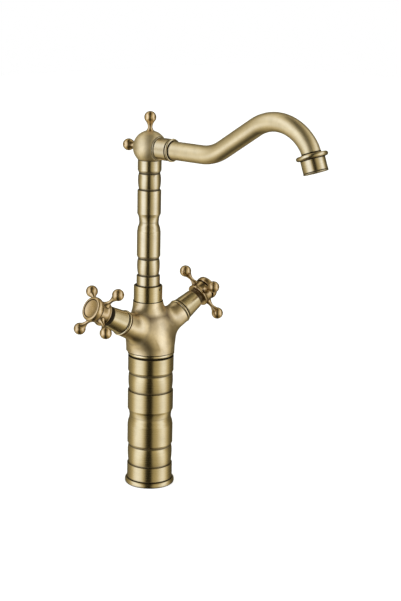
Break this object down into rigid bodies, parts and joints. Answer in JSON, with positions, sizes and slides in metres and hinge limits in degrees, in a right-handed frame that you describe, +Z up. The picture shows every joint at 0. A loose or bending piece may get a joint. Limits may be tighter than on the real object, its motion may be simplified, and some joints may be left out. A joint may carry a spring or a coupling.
{
  "type": "kitchen tap",
  "caption": "Tall two-handle mixer tap in antique brass, with a turned column, a V-shaped valve body, cross handles with ball ends and a swan-neck swivel spout.",
  "frame": {"origin": "centre of the base on the worktop, on the axis of the column", "axes": "+Z up along the column, -Y towards the user in front of the sink, +X towards the cold handle"},
  "size_m": [0.1728, 0.2489, 0.405],
  "materials": {
    "antique_brass": "brushed antique brass, darker in the grooves",
    "bright_brass": "plain machined brass",
    "steel": "plain stainless steel",
    "rubber": "black rubber",
    "ceramic": "lapped white ceramic",
    "plastic": "pale moulded plastic"
  },
  "bodies": {
    "base_body": {"base_gasket": "rubber", "base_flange": "antique_brass", "column": "antique_brass", "stud_plate": "steel", "body_ring": "bright_brass", "valve_body": "antique_brass", "hot_arm_ring": "bright_brass", "hot_cartridge": "bright_brass", "hot_seat_seal": "rubber", "hot_fixed_disc": "ceramic", "hot_bonnet": "antique_brass", "cold_arm_ring": "bright_brass", "cold_cartridge": "bright_brass", "cold_seat_seal": "rubber", "cold_fixed_disc": "ceramic", "cold_bonnet": "antique_brass", "swivel_collar": "antique_brass", "swivel_grub_screw": "steel", "swivel_washer": "plastic"},
    "spout": {"post": "antique_brass", "post_o_rings": "rubber", "ball_elbow": "antique_brass", "top_finial": "antique_brass", "rear_finial": "antique_brass", "spout_hub": "antique_brass", "spout_tube": "antique_brass", "aerator_housing": "antique_brass", "aerator_gasket": "rubber", "aerator_insert": "plastic"},
    "hot_handle": {"hot_moving_disc": "ceramic", "hot_spindle": "bright_brass", "hot_spindle_o_ring": "rubber", "hot_handle_hub": "antique_brass", "hot_handle_spokes": "antique_brass", "hot_handle_screw": "steel", "hot_handle_cap": "antique_brass"},
    "cold_handle": {"cold_moving_disc": "ceramic", "cold_spindle": "bright_brass", "cold_spindle_o_ring": "rubber", "cold_handle_hub": "antique_brass", "cold_handle_spokes": "antique_brass", "cold_handle_screw": "steel", "cold_handle_cap": "antique_brass"}
  },
  "joints": [
    {"name": "spout_swivel", "type": "hinge", "parent": "base_body", "child": "spout", "pos_m": [0, 0.006, 0.205], "axis": [0, 0, 1], "continuous": true},
    {"name": "hot_handle_turn", "type": "hinge", "parent": "base_body", "child": "hot_handle", "pos_m": [0, 0, 0.1593], "axis": [-0.8829, 0, 0.4695], "range_deg": [0, 90]},
    {"name": "cold_handle_turn", "type": "hinge", "parent": "base_body", "child": "cold_handle", "pos_m": [0, 0, 0.1593], "axis": [0.8829, 0, 0.4695], "range_deg": [0, 90]}
  ]
}
